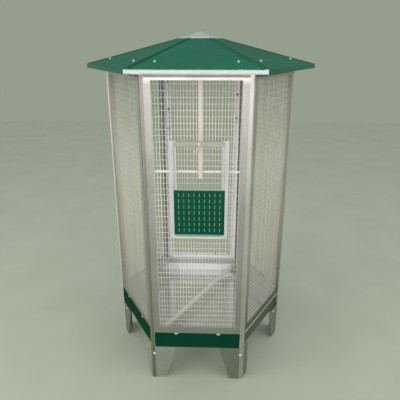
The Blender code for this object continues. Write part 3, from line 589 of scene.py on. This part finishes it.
def surface_at(node, start, direction):
    """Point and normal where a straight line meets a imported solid."""
    hit, point, normal, face = NODES[node].ray_cast(Vector(start), Vector(direction))
    if not hit:
        raise RuntimeError("nothing of %s at %s" % (node, start))
    return point, normal


def finish_piece(obj, material, body):
    """Give a piece its material and the body it moves with."""
    obj.data.materials.clear()
    obj.data.materials.append(material)
    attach(obj, body)
    return obj


# Welded mesh, real sizes
MESH_ACROSS = 0.0127        # between upright wires
MESH_UP = 0.0254            # between level wires
WIRE = 0.0020
WELD_SINK = 0.00025         # how far the wires melt into each other
WIRE_SIDES = 6
WIRE_NIP = WIRE * 0.2       # the cut ends' narrowing
BEAD_RADIUS = WIRE * 0.62
BEAD_SQUASH = (1.0, 0.75, 1.0)
COUNT_SLACK = 1e-6          # keeps a wire that falls right on the limit
NET_FINISH = (ZINC_WIRE, SHADED_WIRE, DARK_REAR_WIRE, DARK_REAR_WIRE, DARK_REAR_WIRE, SHADED_WIRE)


def wire(start, end):
    """Straight drawn wire with nipped ends."""
    start, end = Vector(start), Vector(end)
    run = end - start
    turn = Vector((0, 0, 1)).rotation_difference(run).to_euler()
    nothing_selected()
    bpy.ops.mesh.primitive_cylinder_add(vertices=WIRE_SIDES, radius=WIRE / 2,
                                        depth=run.length, location=(start + end) / 2,
                                        rotation=turn)
    made = bpy.context.object
    deselect_mesh()
    for face in made.data.polygons:
        face.select = len(face.vertices) > 4
    bpy.ops.object.mode_set(mode="EDIT")
    bpy.ops.mesh.inset(thickness=WIRE_NIP)
    bpy.ops.object.mode_set(mode="OBJECT")
    for face in made.data.polygons:
        face.use_smooth = len(face.vertices) == 4
    apply_place(made)
    return made


def weld_bead(place):
    """Small zinc-filled swelling where two wires cross."""
    nothing_selected()
    bpy.ops.mesh.primitive_ico_sphere_add(subdivisions=1, radius=BEAD_RADIUS, location=place)
    made = bpy.context.object
    made.scale = BEAD_SQUASH
    apply_place(made)
    return made


def net_levels(low, high, pitch, middle):
    """Wire places between two limits that include the given middle."""
    first = middle - math.floor((middle - low) / pitch) * pitch
    count = int((high - first) / pitch + COUNT_SLACK) + 1
    return [first + i * pitch for i in range(count)]


def welded_net(name, hole=None):
    """Welded mesh for the front side's place: upright wires outside, level
    wires behind them, and a bead at each crossing. The hole is
    (left, right, bottom, top)."""
    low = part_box("net_front_below_door")[0]
    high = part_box("net_front_above_door")[1]
    upright_y = low.y + WIRE / 2
    level_y = upright_y + WIRE - WELD_SINK
    columns = net_levels(low.x, high.x, MESH_ACROSS, 0.0)
    rows = net_levels(low.z, high.z, MESH_UP, (low.z + high.z) / 2)
    pieces = []

    def uprights(xs, bottom, top):
        if xs:
            pieces.append(repeat(wire((xs[0], upright_y, bottom), (xs[0], upright_y, top)),
                                 len(xs), (MESH_ACROSS, 0, 0)))

    def levels(zs, left, right):
        if zs:
            pieces.append(repeat(wire((left, level_y, zs[0]), (right, level_y, zs[0])),
                                 len(zs), (0, 0, MESH_UP)))

    def beads(xs, zs):
        if xs and zs:
            bead = weld_bead((xs[0], (upright_y + level_y) / 2, zs[0]))
            repeat(bead, len(xs), (MESH_ACROSS, 0, 0))
            pieces.append(repeat(bead, len(zs), (0, 0, MESH_UP)))

    if hole is None:
        uprights(columns, low.z, high.z)
        levels(rows, low.x, high.x)
        beads(columns, rows)
    else:
        left, right, bottom, top = hole
        beside = [[x for x in columns if x < left], [x for x in columns if x > right]]
        across = [x for x in columns if left <= x <= right]
        below = [z for z in rows if z < bottom]
        within = [z for z in rows if bottom <= z <= top]
        above = [z for z in rows if z > top]
        for xs in beside:
            uprights(xs, low.z, high.z)
            beads(xs, rows)
        uprights(across, low.z, below[-1])
        uprights(across, above[0], high.z)
        beads(across, below)
        beads(across, above)
        levels(below, low.x, high.x)
        levels(above, low.x, high.x)
        levels(within, low.x, beside[0][-1])
        levels(within, beside[1][0], high.x)
    return join_as(name, pieces)


def make_nets():
    """Real welded mesh on all six sides, the front one cut round the door."""
    door_way = (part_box("net_front_left_of_door")[1].x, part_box("net_front_right_of_door")[0].x,
                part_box("net_front_below_door")[1].z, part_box("net_front_above_door")[0].z)
    for number, side in enumerate(SIDE_NAMES):
        net = welded_net("mesh_" + side, door_way if number == 0 else None)
        turned_to_side(net, number)
        finish_piece(net, NET_FINISH[number], "cage")
        if number == 0:
            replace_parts(net, *["net_front_" + area for area in FRONT_NET_AREAS])
        else:
            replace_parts(net, "net_" + side)


# Bolts, as (radius, height) of the head, and where they sit
ROOF_BOLT = (0.0037, 0.0056)
FOOT_BOLT = (0.0050, 0.0034)
BOLT_SIDES = 20
DOME_RINGS = 12
WASHER_REACH = 1.45         # of the head's radius
WASHER_THICK = 0.25         # of the head's height
WASHER_ROUND = 0.08         # of the head's height
FASTENER_SMOOTH = 35        # degrees
ROOF_BOLT_APOTHEM = 0.3804
ROOF_BOLT_SPREAD = 0.160
POST_BOLT_FROM_CORNER = 0.0105
POST_BOLT_UP = 0.150
PLATE_BOLT_FROM_CORNER = 0.0560
PLATE_BOLT_UP = 0.172
# Bolts through a straight leaf: the leaf's side, which end of it, and the foot
PLATE_BOLTS = ((5, -1, "left"), (1, 1, "right"), (3, -1, "rear_right"), (3, 1, "rear_left"))
RAY_START = 2.5             # outside everything

# Rivets of the rear frame: across from the middle, and up from the ground
STILE_RIVETS = ((-0.196, 1.386), (-0.196, 1.232), (-0.199, 1.121), (0.200, 1.318),
                (0.199, 1.184))
RAIL_RIVETS = ((-0.153, 0.300), (-0.036, 0.3025), (0.088, 0.305), (0.1745, 0.306))
RIVET_SHANK = 0.0029
RIVET_SIDES = 16
# Shares of the shank: the flange's reach and thickness, its sloping shoulder, the
# shoulder's rise, the rim round the hollow, and the hollow's depth
RIVET_REACH = 1.9
RIVET_THICK = 0.7
RIVET_SHOULDER = 0.45
RIVET_RISE = 0.35
RIVET_RIM = 0.55
RIVET_HOLLOW = 0.6


def bolt_head(radius, height):
    """Domed bolt head on a thin washer, seated on the origin and facing up."""
    seat = height * WASHER_THICK
    nothing_selected()
    bpy.ops.mesh.primitive_cylinder_add(vertices=BOLT_SIDES, radius=radius * WASHER_REACH,
                                        depth=seat, location=(0, 0, seat / 2))
    washer = bpy.context.object
    round_edges(washer, height * WASHER_ROUND)
    nothing_selected()
    bpy.ops.mesh.primitive_uv_sphere_add(segments=BOLT_SIDES, ring_count=DOME_RINGS,
                                         radius=radius, location=(0, 0, seat))
    dome = bpy.context.object
    dome.scale.z = height / radius
    apply_place(washer)
    apply_place(dome)
    bpy.ops.object.mode_set(mode="EDIT")
    bpy.ops.mesh.select_all(action="SELECT")
    bpy.ops.mesh.bisect(plane_co=(0, 0, seat), plane_no=(0, 0, 1), clear_inner=True,
                        use_fill=True)
    bpy.ops.object.mode_set(mode="OBJECT")
    head = join_as("bolt_head", [washer, dome])
    smooth_below(head, FASTENER_SMOOTH)
    return head


def rivet_head():
    """Blind rivet: low round flange with the broken pin's hollow in its middle."""
    thick = RIVET_SHANK * RIVET_THICK
    nothing_selected()
    bpy.ops.mesh.primitive_cylinder_add(vertices=RIVET_SIDES, radius=RIVET_SHANK * RIVET_REACH,
                                        depth=thick, location=(0, 0, thick / 2))
    made = bpy.context.object
    apply_place(made)
    for face in made.data.polygons:
        face.select = face.normal.z > 0.9
    bpy.ops.object.mode_set(mode="EDIT")
    bpy.ops.mesh.inset(thickness=RIVET_SHANK * RIVET_SHOULDER)
    bpy.ops.transform.translate(value=(0, 0, RIVET_SHANK * RIVET_RISE))
    bpy.ops.mesh.inset(thickness=RIVET_SHANK * RIVET_RIM)
    bpy.ops.transform.translate(value=(0, 0, -RIVET_SHANK * RIVET_HOLLOW))
    bpy.ops.object.mode_set(mode="OBJECT")
    smooth_below(made, FASTENER_SMOOTH)
    return made


def make_bolts():
    """Roof bolts, tall and two to a segment, and one flat bolt through each foot."""
    tall_head = bolt_head(*ROOF_BOLT)
    flat_head = bolt_head(*FOOT_BOLT)
    roof_bolts = []
    for x in (-ROOF_BOLT_SPREAD, ROOF_BOLT_SPREAD):
        place, facing = surface_at("roof_segment_front", (x, -ROOF_BOLT_APOTHEM, RAY_START),
                                   (0, 0, -1))
        roof_bolts.append(placed_copy(tall_head, "roof_bolt", place, facing))
    finish_piece(around(roof_bolts, "roof_bolts"), ROOF_BOLT_ZINC, "cage")
    foot_bolts = []
    for sign, corner in ((-1, "front_left"), (1, "front_right")):
        x = sign * (SIDE / 2 - POST_BOLT_FROM_CORNER)
        place, facing = surface_at("corner_post_" + corner, (x, -RAY_START, POST_BOLT_UP),
                                   (0, 1, 0))
        foot_bolts.append(placed_copy(flat_head, "foot_bolt", place, facing))
    for number, sign, corner in PLATE_BOLTS:
        flat = Vector((sign * (SIDE / 2 - PLATE_BOLT_FROM_CORNER), -RAY_START, PLATE_BOLT_UP))
        turn = Matrix.Rotation(number * SIXTH, 3, "Z")
        place, facing = surface_at("foot_" + corner, turn @ flat, turn @ Vector((0, 1, 0)))
        foot_bolts.append(placed_copy(flat_head, "foot_bolt", place, facing))
    finish_piece(join_as("foot_bolts", foot_bolts), BRIGHT_ZINC, "cage")
    for used in (tall_head, flat_head):
        bpy.data.objects.remove(used, do_unlink=True)


def make_rivets():
    """Rivets that hold the rear frame's net and rail, seen through the front net."""
    head = rivet_head()
    rivets = []
    for x, z in STILE_RIVETS + RAIL_RIVETS:
        place, facing = surface_at("panel_frame_rear", (x, 0, z), (0, 1, 0))
        rivets.append(placed_copy(head, "rivet", place, facing))
    bpy.data.objects.remove(head, do_unlink=True)
    finish_piece(join_as("rear_rivets", rivets), RIVET_STEEL, "cage")


ROD_RADIUS = 0.0052
ROD_PLACE = (0, -0.3733, 1.0850)
ROD_SIDES = 28
ROD_ROUND = ROD_RADIUS * 0.35
ROUND_SMOOTH = 50           # degrees, for rod and wire


def make_perch():
    """The perch's rod, cut square and rounded at its ends."""
    low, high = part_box("perch_rod")
    nothing_selected()
    bpy.ops.mesh.primitive_cylinder_add(vertices=ROD_SIDES, radius=ROD_RADIUS,
                                        depth=high.x - low.x, location=ROD_PLACE,
                                        rotation=(0, math.radians(90), 0))
    rod = bpy.context.object
    apply_place(rod)
    round_edges(rod, ROD_ROUND, segments=3)
    smooth_below(rod, ROUND_SMOOTH)
    rod.name = "perch_round_rod"
    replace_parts(rod, "perch_rod")
    finish_piece(rod, WHITE_ROD, "cage")


HOOK_WIRE = 0.0030
HOOK_STANDS_OUT = 0.0004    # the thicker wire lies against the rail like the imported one
HOOK_EYE = 0.0044
HOOK_BOW = 0.0050
HOOK_LENGTH = 0.030
HOOK_LEAN = math.radians(28)
EYE_ARC = (240, -60, 18)    # from and to in degrees, and steps
BOW_ARC = (0, -270, 16)


def arc(middle_x, middle_z, radius, start, end, steps):
    """Points on an arc in the front plane, its angles in degrees from +X."""
    turns = [math.radians(start + (end - start) * i / steps) for i in range(steps + 1)]
    return [(middle_x + radius * math.cos(a), 0.0, middle_z + radius * math.sin(a))
            for a in turns]


def make_hook():
    """The hold-up hook: one wire bent to an eye round the rivet and to a curl below."""
    path = arc(0, 0, HOOK_EYE, *EYE_ARC)
    tail = path[-1]
    path += arc(tail[0] - HOOK_BOW, tail[2] - HOOK_LENGTH, HOOK_BOW, *BOW_ARC)
    bend = bpy.data.curves.new("hook_bend", "CURVE")
    bend.dimensions = "3D"
    line = bend.splines.new("POLY")
    line.points.add(len(path) - 1)
    for point, place in zip(line.points, path):
        point.co = (*place, 1.0)
    bend.bevel_depth = HOOK_WIRE / 2
    bend.bevel_resolution = 3
    bend.use_fill_caps = True
    hook = bpy.data.objects.new("bent_wire_hook", bend)
    bpy.context.collection.objects.link(hook)
    only(hook)
    bpy.ops.object.convert(target="MESH")
    hook = bpy.context.object
    hook.rotation_euler.y = HOOK_LEAN
    pin = box_middle("hook_pin")
    hook.location = (pin.x, box_middle("door_hook").y - HOOK_STANDS_OUT, pin.z)
    apply_place(hook)
    smooth_below(hook, ROUND_SMOOTH)
    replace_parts(hook, "door_hook")
    finish_piece(hook, BRIGHT_ZINC, "hold_up_hook")


FRONT_LIFT = 0.0185         # the left front laps over the frame's lower rail
FRONT_INSET = 0.0110        # from the posts' face to the left tray's wall
FOLD_SHEET = 0.0010
FOLD_CLEAR = 0.0090         # kept from the post that the tray slides past
FOLD_SHORT = 0.0020         # kept from the front's other end
FOLD_ABOVE = 0.0010         # kept from the front's lower edge
FOLD_BELOW = 0.0006         # kept from the frame above


def make_left_front():
    """The left tray's green front: flush with the posts and lapped over the
    frame's lower rail, its edges folded back to the tray's wall."""
    plate = merged_copy("tray_front_right", "front_plate")
    low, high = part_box("tray_front_right")
    left, right = low.x + FOLD_SHORT, high.x - FOLD_CLEAR
    bottom = low.z + FRONT_LIFT + FOLD_ABOVE
    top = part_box("panel_frame_front")[0].z - FOLD_BELOW
    depth = FRONT_INSET - (high.y - low.y)
    folds = block(((left + right) / 2, high.y + depth / 2, (bottom + top) / 2),
                  (right - left, depth, top - bottom))
    deselect_mesh()
    for face in folds.data.polygons:
        face.select = face.normal.y > 0.9
    bpy.ops.object.mode_set(mode="EDIT")
    bpy.ops.mesh.delete(type="FACE")
    bpy.ops.object.mode_set(mode="OBJECT")
    sheet = folds.modifiers.new("sheet", "SOLIDIFY")
    sheet.thickness = FOLD_SHEET
    sheet.offset = -1.0
    bpy.ops.object.modifier_apply(modifier=sheet.name)
    plate.location.z = FRONT_LIFT
    apply_place(plate)
    front = turned_to_side(join_as("flush_left_front", [plate, folds]), FRONT_LEFT)
    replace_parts(front, "tray_front_left")
    finish_piece(front, SIDE_GREEN, "left_tray")
    for number in ("1", "2"):
        tab = merged_copy("tray_tab_right_" + number, "lifted_left_tab_" + number)
        tab.location.z = FRONT_LIFT
        apply_place(tab)
        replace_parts(turned_to_side(tab, FRONT_LEFT), "tray_tab_left_" + number)
        finish_piece(tab, BRIGHT_ZINC, "left_tray")


def make_side_feet():
    """The left and right feet, their wide leaf towards the front and their
    straight leaf behind."""
    for corner in ("left", "right"):
        foot = merged_copy("foot_" + corner, "wide_foot_" + corner)
        foot.scale.y = -1.0
        apply_place(foot)
        turned_outwards(foot)
        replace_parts(foot, "foot_" + corner)
        finish_piece(foot, SIDE_FOOT, "cage")


FOLD_SMOOTH = 40            # degrees, for rounded folds and cut edges
SEAM_WIDE = 0.0056
SEAM_TALL = 0.0030
SEAM_ROUND = SEAM_TALL * 0.4
SEAM_RISE = SEAM_TALL * 0.2     # its middle above the slope
SEAM_BESIDE = 0.0025        # from the ridge, onto the segment that covers the next
SEAM_OUT = (0.075, 0.520)   # from the middle of the roof


def make_ridge_seams():
    """The folded lock seam down each ridge, standing a little above the slopes, painted nearly
    black as the shadow under the fold.
    """
    ends = []
    for out in SEAM_OUT:
        beside = SIXTH / 2 - SEAM_BESIDE / out
        start = (-out * math.sin(beside), -out * math.cos(beside), RAY_START)
        ends.append(surface_at("roof_segment_front", start, (0, 0, -1))[0])
    run = ends[1] - ends[0]
    seam = block((0, 0, 0), (run.length, SEAM_WIDE, SEAM_TALL))
    round_edges(seam, SEAM_ROUND)
    smooth_below(seam, FOLD_SMOOTH)
    seam.rotation_euler = run.to_track_quat("X", "Z").to_euler()
    seam.location = (ends[0] + ends[1]) / 2 + Vector((0, 0, SEAM_RISE))
    apply_place(seam)
    finish_piece(around([seam], "ridge_seams"), SEAM_GREEN, "cage")


SLOT_ROWS = 7
SLOT_COLUMNS = 9
SLOT_WIDE, SLOT_TALL = 0.0022, 0.0155
SLOT_ACROSS, SLOT_UP = 0.0221, 0.0270   # from one slot to the next
SLOT_MIDDLE_X, SLOT_MIDDLE_Z = 0.0105, 0.9037
CUTTER_DEPTH = 0.010
PLATE_ROUND = 0.0003


def make_plate():
    """The lifting plate with its punched slots, each cut edge rounded a little."""
    low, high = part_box("door_plate")
    middle = box_middle("door_plate")
    plate = block(middle, high - low)
    cutters = []
    for row in range(SLOT_ROWS):
        for column in range(SLOT_COLUMNS):
            x = SLOT_MIDDLE_X + (column - (SLOT_COLUMNS - 1) / 2) * SLOT_ACROSS
            z = SLOT_MIDDLE_Z + (row - (SLOT_ROWS - 1) / 2) * SLOT_UP
            cutters.append(block((x, middle.y, z), (SLOT_WIDE, CUTTER_DEPTH, SLOT_TALL)))
    cutter = join_as("slot_cutter", cutters)
    only(plate)
    cut = plate.modifiers.new("slots", "BOOLEAN")
    cut.operation = "DIFFERENCE"
    cut.solver = "EXACT"
    cut.object = cutter
    bpy.ops.object.modifier_apply(modifier=cut.name)
    bpy.data.objects.remove(cutter, do_unlink=True)
    round_edges(plate, PLATE_ROUND)
    smooth_below(plate, FOLD_SMOOTH)
    plate.name = "slotted_plate"
    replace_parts(plate, "door_plate")
    finish_piece(plate, DOOR_GREEN, "lifting_plate")


RIM_TALL = 0.0040
RIM_THICK = 0.0012
RIM_SHORT = 0.022           # kept from each corner
RIM_BEHIND = 0.0004         # its middle, behind the posts' face
RIM_SUNK = 0.0030           # below the band's top
RIM_ROUND = RIM_THICK * 0.4


def make_rims():
    """Folded rim along the top of each galvanised band, under the frames, painted bright as a
    highlight.
    """
    for number, side in enumerate(SIDE_NAMES):
        if "skirt_" + side not in NODES:
            continue
        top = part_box("skirt_" + side)[1].z
        rim = block((0, -APOTHEM + RIM_BEHIND, top + RIM_TALL / 2 - RIM_SUNK),
                    (SIDE - 2 * RIM_SHORT, RIM_THICK, RIM_TALL))
        round_edges(rim, RIM_ROUND)
        smooth_below(rim, FOLD_SMOOTH)
        rim.name = "rim_" + side
        finish_piece(turned_to_side(rim, number), RIM_ZINC, "cage")


STUDIO_LIGHT = "D2D4D2"
STUDIO_STRENGTH = 1.25
BACKDROP = "969E8D"
FLOOR_SIZE = 14.0
FLOOR_TONES = ("9CA392", "A2A998")
# Lamps: name, place, point they face, (width, height) and watts
LAMPS = (
    ("front_strip", (-0.1, -2.9, 1.342), (-0.1, 0, 1.342), (1.7, 0.05), 15),
    ("left_panel", (-3.4, -2.2, 1.9), (0, 0, 0.9), (4.0, 3.6), 118),
    ("right_panel", (3.4, -2.0, 2.0), (0, 0, 0.9), (4.0, 3.6), 78),
)


def make_stage():
    """Plain pale floor that takes the object's shadow."""
    nothing_selected()
    bpy.ops.mesh.primitive_plane_add(size=FLOOR_SIZE, location=(0, 0, 0))
    floor = bpy.context.object
    floor.name = "studio_floor"
    made, tree, shader, place = new_material("studio_floor")
    cloud = add_node(tree, "ShaderNodeTexNoise", {"Vector": place},
                     {"Scale": 3.0, "Detail": 3.0})
    colour = add_node(tree, "ShaderNodeValToRGB", {"Fac": cloud.outputs["Fac"]},
                      stops=((0.3, FLOOR_TONES[0]), (0.7, FLOOR_TONES[1])))
    tree.links.new(colour.outputs["Color"], shader.inputs["Base Color"])
    shader.inputs["Roughness"].default_value = 0.9
    floor.data.materials.append(made)


def area_light(name, place, target, size, power):
    """A soft rectangular lamp that the camera doesn't see."""
    data = bpy.data.lights.new(name, "AREA")
    data.shape = "RECTANGLE"
    data.size, data.size_y = size
    data.energy = power
    lamp = bpy.data.objects.new(name, data)
    bpy.context.collection.objects.link(lamp)
    lamp.location = place
    facing = Vector(target) - Vector(place)
    lamp.rotation_euler = facing.to_track_quat("-Z", "Y").to_euler()
    lamp.visible_camera = False


def make_light():
    """Studio light from all round, which the camera and shiny metal see as a
    plain backdrop, and the lamps."""
    world = bpy.data.worlds.new("studio")
    bpy.context.scene.world = world
    world.use_nodes = True
    tree = world.node_tree
    light = tree.nodes["Background"]
    light.inputs["Color"].default_value = linear(STUDIO_LIGHT)
    light.inputs["Strength"].default_value = STUDIO_STRENGTH
    seen = add_node(tree, "ShaderNodeBackground", None,
                    {"Color": linear(BACKDROP), "Strength": 1.0})
    ray = add_node(tree, "ShaderNodeLightPath")
    camera_or_glossy = add_node(tree, "ShaderNodeMath",
                                {0: ray.outputs["Is Camera Ray"],
                                 1: ray.outputs["Is Glossy Ray"]},
                                operation="MAXIMUM")
    any_seen = add_node(tree, "ShaderNodeMath",
                        {0: camera_or_glossy.outputs["Value"],
                         1: ray.outputs["Is Transmission Ray"]},
                        operation="MAXIMUM")
    mix = add_node(tree, "ShaderNodeMixShader",
                   {0: any_seen.outputs["Value"], 1: light.outputs["Background"],
                    2: seen.outputs["Background"]})
    tree.links.new(mix.outputs["Shader"], tree.nodes["World Output"].inputs["Surface"])
    for lamp in LAMPS:
        area_light(*lamp)


def make_camera():
    """The photograph's camera."""
    data = bpy.data.cameras.new("photo_camera")
    data.sensor_width = SENSOR_MM
    data.sensor_fit = "HORIZONTAL"
    data.lens = FOCAL_PIXELS * SENSOR_MM / IMAGE_PIXELS
    data.clip_start = 0.05
    camera = bpy.data.objects.new("photo_camera", data)
    bpy.context.collection.objects.link(camera)
    camera.location = CAMERA_PLACE
    camera.rotation_euler = (math.radians(90) - CAMERA_PITCH, 0, CAMERA_YAW)
    bpy.context.scene.camera = camera


def main():
    bpy.context.scene.view_settings.view_transform = "Standard"
    dress_nodes()
    make_camera()
    make_light()
    make_stage()
    make_nets()
    make_bolts()
    make_rivets()
    make_perch()
    make_hook()
    make_rims()
    make_ridge_seams()
    make_plate()
    make_left_front()
    make_side_feet()


main()
